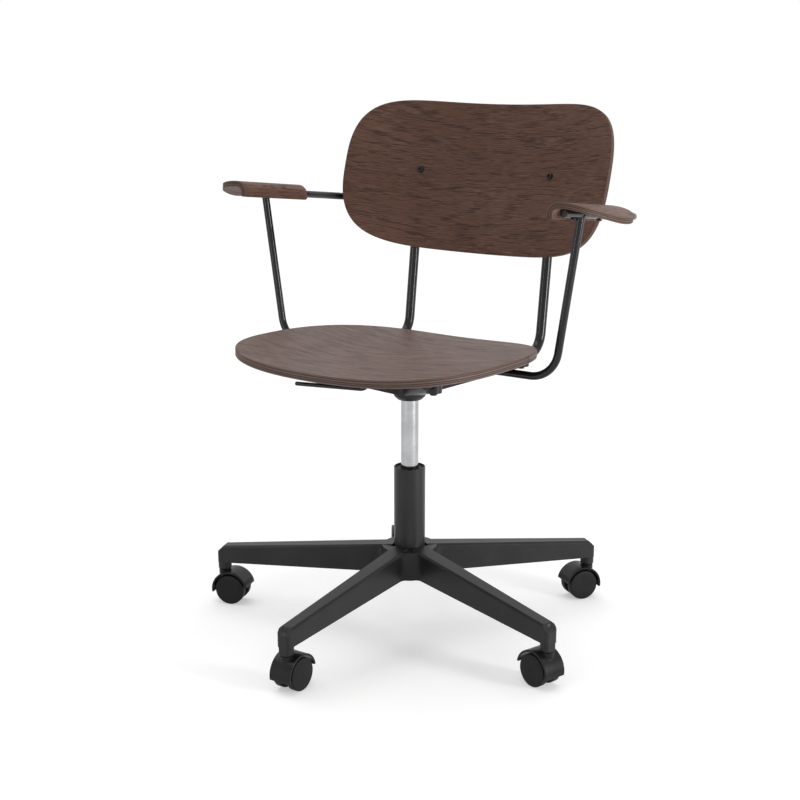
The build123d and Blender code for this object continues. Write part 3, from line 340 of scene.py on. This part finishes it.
class CHAIR_OT_tube_frame(bpy.types.Operator):
    """Finish the bent tubes, the lever and the tubes' plugs"""
    bl_idname = "chair.tube_frame"
    bl_label = "Tube frame"

    def execute(self, context):
        colors = props(context)[1]
        black = coat(context, "tube_black", colors.tube, 0.13, 900.0, 0.00002, gloss=0.3)
        dress(black, "arm_hoop", "arm_tube_left", "arm_tube_right", "back_upright_left", "back_upright_right",
              "height_lever")
        plug = coat(context, "plug_nylon", colors.nylon, 0.48, 1600.0, 0.00005, gloss=0.4)
        dress(plug, "hoop_plugs", "upright_plugs")
        return {"FINISHED"}


class CHAIR_OT_star_base(bpy.types.Operator):
    """Finish the cast five-arm base and the hub under the seat in satin black"""
    bl_idname = "chair.star_base"
    bl_label = "Base and hub"

    def execute(self, context):
        colors = props(context)[1]
        dress(coat(context, "cast_black", colors.cast, 0.40, 1300.0, 0.00007, gloss=0.24, edge=1.6),
              "star_base", "seat_hub")
        return {"FINISHED"}


class CHAIR_OT_lift_column(bpy.types.Operator):
    """Finish the column, the gas spring and the thrust bearing"""
    bl_idname = "chair.lift_column"
    bl_label = "Lift column"

    def execute(self, context):
        colors = props(context)[1]
        dress(coat(context, "column_black", colors.column, 0.36, 1100.0, 0.00005, gloss=0.28), "column_tube")
        dress(coat(context, "bush_nylon", colors.nylon, 0.55, 1600.0, 0.00005, gloss=0.4),
              "column_guide_bush", "piston", "valve_button")
        steel = brushed(context, "bright_steel", colors.steel, 0.17)
        dress(steel, "gas_cylinder", "piston_rod", "bearing_race_lower", "bearing_race_upper",
              "bearing_balls", "rod_washer", "rod_clip", "lever_pin")
        dress(steel, *(f"caster_{n}_axle" for n in range(1, 6)))
        dress(coat(context, "stem_oxide", colors.oxide, 0.40, 1500.0, 0.00004, gloss=0.3), "caster_stems",
              "caster_stem_rings")
        dress(brushed(context, "cage_brass", colors.brass, 0.30), "bearing_cage")
        return {"FINISHED"}


class CHAIR_OT_caster_hoods(bpy.types.Operator):
    """Finish the casters' hoods in half-gloss nylon"""
    bl_idname = "chair.caster_hoods"
    bl_label = "Caster hoods"

    def execute(self, context):
        colors = props(context)[1]
        dress(coat(context, "hood_nylon", colors.nylon, 0.26, 1400.0, 0.00004, gloss=0.2, edge=1.4),
              *(f"caster_{n}_hood" for n in range(1, 6)))
        return {"FINISHED"}


# Half section of a wheel, from its outer disc round to its hub: radius and distance from the inner side, in mm
WHEEL_SECTION = (
    (0.0, 11.6), (2.6, 11.6), (3.0, 12.0), (12.0, 12.0), (23.0, 12.0), (23.8, 11.85), (24.45, 11.4),
    (24.85, 10.8), (25.0, 10.0), (25.0, 6.3), (24.8, 6.1), (24.8, 5.9), (25.0, 5.7), (25.0, 2.0), (24.85, 1.2),
    (24.45, 0.55), (23.8, 0.15), (23.0, 0.0), (21.2, 0.0), (21.0, 0.2), (21.0, 7.5), (6.5, 7.5), (6.5, 0.2),
    (6.3, 0.0), (3.05, 0.0), (3.05, 9.5), (0.0, 9.5))


class CHAIR_OT_caster_wheels(bpy.types.Operator):
    """Turn the ten wheels with their tread line and hub dimple"""
    bl_idname = "chair.caster_wheels"
    bl_label = "Caster wheels"

    def execute(self, context):
        colors = props(context)[1]
        black = coat(context, "wheel_nylon", colors.nylon, 0.50, 1500.0, 0.00006, gloss=0.16)
        for number in range(1, 6):
            angle = radians(-90 + 72 * (number - 1))
            out = Vector((cos(angle), sin(angle), 0))
            axle = out * (CASTER_R - CASTER_TRAIL) + Vector((0, 0, WHEEL_R))
            for side in ("left", "right"):
                node = f"caster_{number}_wheel_{side}"
                low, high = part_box(node)
                middle = (Vector(low) + Vector(high)) / 2
                axis = (middle - axle).normalized()
                up = Vector((0, 0, 1))
                fore = axis.cross(up)
                mesh = bmesh.new()
                ring = [mesh.verts.new(axle + axis * (WHEEL_INNER + w / 1000) + up * (r / 1000))
                        for r, w in WHEEL_SECTION]
                edges = [mesh.edges.new(pair) for pair in zip(ring, ring[1:])]
                bmesh.ops.spin(mesh, geom=ring + edges, cent=axle, axis=axis, steps=72, angle=2 * pi)
                bmesh.ops.remove_doubles(mesh, verts=mesh.verts, dist=1e-6)
                bmesh.ops.recalc_face_normals(mesh, faces=mesh.faces)
                piece = finished(f"wheel_{number}_{side}_turned", mesh, black)
                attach(piece, f"wheel_{number}_{side}")
                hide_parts(node)
        return {"FINISHED"}


def finished(name, mesh, material, angle=32.0):
    """Object from a mesh under construction, smooth but for its sharp edges."""
    data = bpy.data.meshes.new(name)
    mesh.to_mesh(data)
    mesh.free()
    data.materials.append(material)
    data.shade_smooth()
    data.set_sharp_from_angle(angle=radians(angle))
    piece = bpy.data.objects.new(name, data)
    bpy.context.scene.collection.objects.link(piece)
    return piece


class Tree:
    """A Geometry Nodes tree under construction, with named inputs for its sizes."""

    def __init__(self, name, sizes):
        self.group = bpy.data.node_groups.new(name, "GeometryNodeTree")
        face = self.group.interface
        face.new_socket("Geometry", in_out="INPUT", socket_type="NodeSocketGeometry")
        for size in sizes:
            face.new_socket(size, in_out="INPUT", socket_type="NodeSocketFloat")
        face.new_socket("Finish", in_out="INPUT", socket_type="NodeSocketMaterial")
        face.new_socket("Geometry", in_out="OUTPUT", socket_type="NodeSocketGeometry")
        self.given = self.group.nodes.new("NodeGroupInput").outputs

    def node(self, kind, settings=None, inputs=None, out=0):
        made = self.group.nodes.new(kind)
        for key, value in (settings or {}).items():
            setattr(made, key, value)
        for key, value in (inputs or {}).items():
            if isinstance(value, bpy.types.NodeSocket):
                self.group.links.new(value, made.inputs[key])
            else:
                made.inputs[key].default_value = value
        return made.outputs[out]

    def maths(self, operation, *values):
        return self.node("ShaderNodeMath", {"operation": operation}, dict(enumerate(values)))

    def end(self, instances, smooth):
        """Make the instances one mesh in the given finish."""
        whole = self.node("GeometryNodeRealizeInstances", None, {0: instances})
        shaded = self.node("GeometryNodeSetShadeSmooth", None, {"Geometry": whole, "Shade Smooth": smooth})
        coloured = self.node("GeometryNodeSetMaterial", None,
                             {"Geometry": shaded, "Material": self.given["Finish"]})
        output = self.group.nodes.new("NodeGroupOutput")
        self.group.links.new(coloured, output.inputs[0])
        return self.group


def grow(name, group, data, values):
    """Run a tree on a mesh and keep the outcome as a plain mesh."""
    seed = bpy.data.objects.new(name + "_seed", data)
    bpy.context.scene.collection.objects.link(seed)
    maker = seed.modifiers.new("make", "NODES")
    maker.node_group = group
    for item in group.interface.items_tree:
        if item.in_out == "INPUT" and item.name in values:
            maker[item.identifier] = values[item.name]
    graph = bpy.context.evaluated_depsgraph_get()
    graph.update()
    made = bpy.data.meshes.new_from_object(seed.evaluated_get(graph), depsgraph=graph)
    bpy.data.objects.remove(seed)
    made.name = name
    piece = bpy.data.objects.new(name, made)
    bpy.context.scene.collection.objects.link(piece)
    if not made.polygons:
        raise RuntimeError(name + " came out empty")
    return piece


def screw_tree():
    """Round heads with a hexagon socket at points that say which way the sockets face."""
    t = Tree("socket_heads", ("Head radius", "Head height", "Socket radius"))
    radius, height, hexagon = t.given["Head radius"], t.given["Head height"], t.given["Socket radius"]
    drum = t.node("GeometryNodeMeshCylinder", None, {"Vertices": 40, "Radius": radius,
                                                      "Depth": t.maths("MULTIPLY", height, 0.7)})
    drum = t.node("GeometryNodeTransform", None, {"Geometry": drum, "Translation": t.node(
        "ShaderNodeCombineXYZ", None, {2: t.maths("MULTIPLY", height, -0.15)})})
    crown = t.node("GeometryNodeMeshCone", None, {"Vertices": 40, "Radius Bottom": radius,
                                                   "Radius Top": t.maths("MULTIPLY", radius, 0.86),
                                                   "Depth": t.maths("MULTIPLY", height, 0.3)})
    crown = t.node("GeometryNodeTransform", None, {"Geometry": crown, "Translation": t.node(
        "ShaderNodeCombineXYZ", None, {2: t.maths("MULTIPLY", height, 0.2)})})
    key = t.node("GeometryNodeMeshCylinder", None, {"Vertices": 6, "Radius": hexagon, "Depth": height})
    key = t.node("GeometryNodeTransform", None, {"Geometry": key, "Translation": t.node(
        "ShaderNodeCombineXYZ", None, {2: t.maths("MULTIPLY", height, 0.5)})})
    head = t.node("GeometryNodeMeshBoolean", {"operation": "UNION"}, {"Mesh 2": drum})
    t.group.links.new(crown, head.node.inputs["Mesh 2"])
    head = t.node("GeometryNodeMeshBoolean", {"operation": "DIFFERENCE"}, {"Mesh 1": head, "Mesh 2": key})
    aim = t.node("GeometryNodeInputNamedAttribute", {"data_type": "FLOAT_VECTOR"}, {"Name": "aim"})
    turn = t.node("FunctionNodeAlignRotationToVector", {"axis": "Z"}, {"Vector": aim})
    heads = t.node("GeometryNodeInstanceOnPoints", None, {"Points": t.given["Geometry"], "Instance": head,
                                                          "Rotation": turn})
    return t.end(heads, False)


def weld_tree():
    """Overlapping ripples of weld metal along a path."""
    t = Tree("weld_ripples", ("Bead", "Pitch"))
    line = t.node("GeometryNodeMeshToCurve", None, {0: t.given["Geometry"]})
    line = t.node("GeometryNodeResampleCurve", {"mode": "LENGTH"},
                  {"Curve": line, "Length": t.given["Pitch"]})
    drop = t.node("GeometryNodeMeshUVSphere", None, {"Segments": 10, "Rings": 6, "Radius": t.given["Bead"]})
    spread = t.node("FunctionNodeRandomValue", {"data_type": "FLOAT"},
                    {"Min": 0.86, "Max": 1.12, "Seed": 7}, out=1)
    beads = t.node("GeometryNodeInstanceOnPoints", None, {"Points": line, "Instance": drop, "Scale": spread})
    return t.end(beads, True)


def point_mesh(name, points, aims):
    """Loose points that each carry a direction."""
    data = bpy.data.meshes.new(name)
    data.from_pydata(points, [], [])
    facing = data.attributes.new("aim", "FLOAT_VECTOR", "POINT")
    facing.data.foreach_set("vector", [c for aim in aims for c in aim])
    return data


def path_mesh(name, loops):
    """Closed loops of edges."""
    points, edges = [], []
    for loop in loops:
        first, count = len(points), len(loop)
        points += loop
        edges += [(first + i, first + (i + 1) % count) for i in range(count)]
    data = bpy.data.meshes.new(name)
    data.from_pydata(points, edges, [])
    return data


def both_sides(points):
    """Points or directions and their mirror images across the chair."""
    return [Vector(p) for p in points] + [Vector((-p[0], p[1], p[2])) for p in points]


class CHAIR_OT_fasteners(bpy.types.Operator):
    """Make the socket screws under the seat and the armrests, and finish the backrest's screws"""
    bl_idname = "chair.fasteners"
    bl_label = "Screws"

    def execute(self, context):
        _, colors, detail, _ = props(context)
        oxide = coat(context, "screw_oxide", colors.oxide, 0.34, 1800.0, 0.00004, gloss=0.25)
        dress(oxide, "backrest_screws")
        seat_up = tilted(SEAT_TILT) @ Vector((0, 0, 1))
        pad_up = tilted(HOOP_TILT) @ Vector((0, 0, 1))
        heads = screw_tree()
        for node, spots, up, drop, radius, height in (
                ("seat_screws", SEAT_SCREWS, seat_up, *SEAT_HEAD),
                ("armrest_screws", PAD_SCREWS, pad_up, *PAD_HEAD)):
            points = both_sides([Vector(spot) - up * drop for spot in spots])
            aims = both_sides([-up] * len(spots))
            piece = grow(node + "_socketed", heads, point_mesh(node, points, aims),
                         {"Head radius": radius, "Head height": height,
                          "Socket radius": radius * detail.socket * SOCKET_CORNER, "Finish": oxide})
            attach(piece, "seat")
            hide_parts(node)
        return {"FINISHED"}


def saddle(point, axis, run, small, big, count=48):
    """Loop where a small tube along an axis ends on a big tube's surface."""
    axis, run = axis.normalized(), run.normalized()
    side = axis.cross(run).normalized()
    rest = side.cross(axis)
    loop = []
    for i in range(count):
        spoke = side * (small * cos(2 * pi * i / count)) + rest * (small * sin(2 * pi * i / count))
        flat, lean = spoke - run * spoke.dot(run), axis - run * axis.dot(run)
        a, b, c = lean.dot(lean), 2 * flat.dot(lean), flat.dot(flat) - big * big
        loop.append(point + spoke + axis * ((-b + sqrt(max(b * b - 4 * a * c, 0))) / (2 * a)))
    return loop


class CHAIR_OT_welds(bpy.types.Operator):
    """Lay the welds where the tubes of the frame meet"""
    bl_idname = "chair.welds"
    bl_label = "Welds"

    def execute(self, context):
        _, colors, detail, _ = props(context)
        hoop_run, seat_run = tilted(HOOP_TILT) @ Vector((0, 1, 0)), tilted(SEAT_TILT) @ Vector((0, 1, 0))
        loops = [saddle(ARM_TOP, ARM_CORNER - ARM_TOP, hoop_run, 0.006, TUBE_R),
                 saddle(RUN_AT_ARM, Vector((1, 0, 0)), seat_run, 0.006, UPRIGHT_R)]
        up = tilted(BACK_LEAN) @ Vector((0, 0, 1))
        wide, tall = CROSSING_WELD
        turns = [2 * pi * i / 32 for i in range(32)]
        loops.append([HOOP_CROSSING + Vector((wide * cos(t), 0, 0)) + up * (tall * sin(t)) for t in turns])
        loops += [[Vector((-p.x, p.y, p.z)) for p in reversed(loop)] for loop in loops]
        black = coat(context, "weld_black", colors.tube, 0.30, 900.0, 0.00004, gloss=0.5)
        piece = grow("frame_welds", weld_tree(), path_mesh("weld_paths", loops),
                     {"Bead": detail.weld_bead, "Pitch": detail.weld_pitch, "Finish": black})
        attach(piece, "seat")
        return {"FINISHED"}


def lamp(name, kind, place, aim, energy, **settings):
    """Lamp at a place, turned towards a point."""
    data = bpy.data.lights.new(name, kind)
    data.energy = energy
    for key, value in settings.items():
        setattr(data, key, value)
    obj = bpy.data.objects.new(name, data)
    obj.location = place
    obj.rotation_euler = (Vector(aim) - Vector(place)).to_track_quat("-Z", "Y").to_euler()
    bpy.context.scene.collection.objects.link(obj)


class CHAIR_OT_stage(bpy.types.Operator):
    """Set the pale floor, the soft lamps and the camera"""
    bl_idname = "chair.stage"
    bl_label = "Stage"

    def execute(self, context):
        stage = props(context)[3]
        data = bpy.data.meshes.new("floor")
        corners = ((-1, -1), (1, -1), (1, 1), (-1, 1))
        data.from_pydata([(FLOOR_HALF * x, FLOOR_HALF * y, -FLOOR_DROP) for x, y in corners], [],
                         [(0, 1, 2, 3)])
        floor = bpy.data.objects.new("floor", data)
        context.scene.collection.objects.link(floor)
        f = Finish(bpy.data.materials.new("pale_floor"))
        matt = f.node("ShaderNodeBsdfDiffuse", None, {"Color": (0.70, 0.70, 0.70, 1)})
        glow = f.node("ShaderNodeEmission", None, {"Color": (1, 1, 1, 1), "Strength": self.seen(f) * 0.42})
        data.materials.append(f.finish(f.node("ShaderNodeAddShader", None, {0: matt, 1: glow})))
        f = Finish(bpy.data.worlds.new("studio"))
        sky = f.node("ShaderNodeBackground", None, {"Color": (1, 1, 1, 1),
                                                    "Strength": self.seen(f) * (1 - stage.air) + stage.air})
        context.scene.world = f.finish(sky, "ShaderNodeOutputWorld")
        lamp("overhead", "SUN", (-0.8, 0.3, 3.0), (0, 0, 0), stage.sun, angle=radians(70))
        lamp("strip", "AREA", (-0.7, -2.2, 0.55), (0, 0, 0.5), stage.strip,
             shape="RECTANGLE", size=0.20, size_y=1.0)
        lamp("fill", "AREA", (2.3, 0.1, 0.55), (0, 0, 0.5), stage.fill,
             shape="RECTANGLE", size=0.50, size_y=1.1)
        camera = bpy.data.objects.new("camera", bpy.data.cameras.new("camera"))
        camera.data.lens = stage.lens
        camera.location = (1.2084, -1.8314, 0.9121)
        camera.rotation_euler = (radians(76.14), 0, radians(33.82))
        context.scene.collection.objects.link(camera)
        context.scene.camera = camera
        context.scene.view_settings.view_transform = "Standard"
        return {"FINISHED"}

    def seen(self, f):
        """One for what the camera sees straight, in gloss or through glass."""
        path = f.node("ShaderNodeLightPath").out.node
        straight, gloss, through = (Sock(f, path.outputs[name]) for name in
                                    ("Is Camera Ray", "Is Glossy Ray", "Is Transmission Ray"))
        return f.maths("MINIMUM", straight + gloss + through, 1.0)


OPERATORS = (CHAIR_OT_plywood, CHAIR_OT_tube_frame, CHAIR_OT_star_base, CHAIR_OT_lift_column,
             CHAIR_OT_caster_hoods, CHAIR_OT_caster_wheels, CHAIR_OT_fasteners, CHAIR_OT_welds, CHAIR_OT_stage)
GROUPS = {"chair_wood": WoodProps, "chair_coat": CoatProps, "chair_detail": DetailProps,
          "chair_stage": StageProps}


class CHAIR_PT_panel(bpy.types.Panel):
    """The chair's finishes and steps"""
    bl_idname = "CHAIR_PT_panel"
    bl_label = "Task chair"
    bl_space_type = "VIEW_3D"
    bl_region_type = "UI"
    bl_category = "Task chair"

    def draw(self, context):
        for name in GROUPS:
            group = getattr(context.scene, name)
            box = self.layout.box()
            for key in group.__annotations__:
                box.prop(group, key)
        for operator in OPERATORS:
            self.layout.operator(operator.bl_idname)


def register():
    for cls in (*GROUPS.values(), *OPERATORS, CHAIR_PT_panel):
        bpy.utils.register_class(cls)
    for name, group in GROUPS.items():
        setattr(bpy.types.Scene, name, PointerProperty(type=group))


def unregister():
    for name in GROUPS:
        delattr(bpy.types.Scene, name)
    for cls in (CHAIR_PT_panel, *reversed(OPERATORS), *reversed(list(GROUPS.values()))):
        bpy.utils.unregister_class(cls)


def main():
    register()
    bpy.ops.chair.plywood()
    bpy.ops.chair.tube_frame()
    bpy.ops.chair.star_base()
    bpy.ops.chair.lift_column()
    bpy.ops.chair.caster_hoods()
    bpy.ops.chair.caster_wheels()
    bpy.ops.chair.fasteners()
    bpy.ops.chair.welds()
    bpy.ops.chair.stage()


if __name__ == "__main__":
    main()
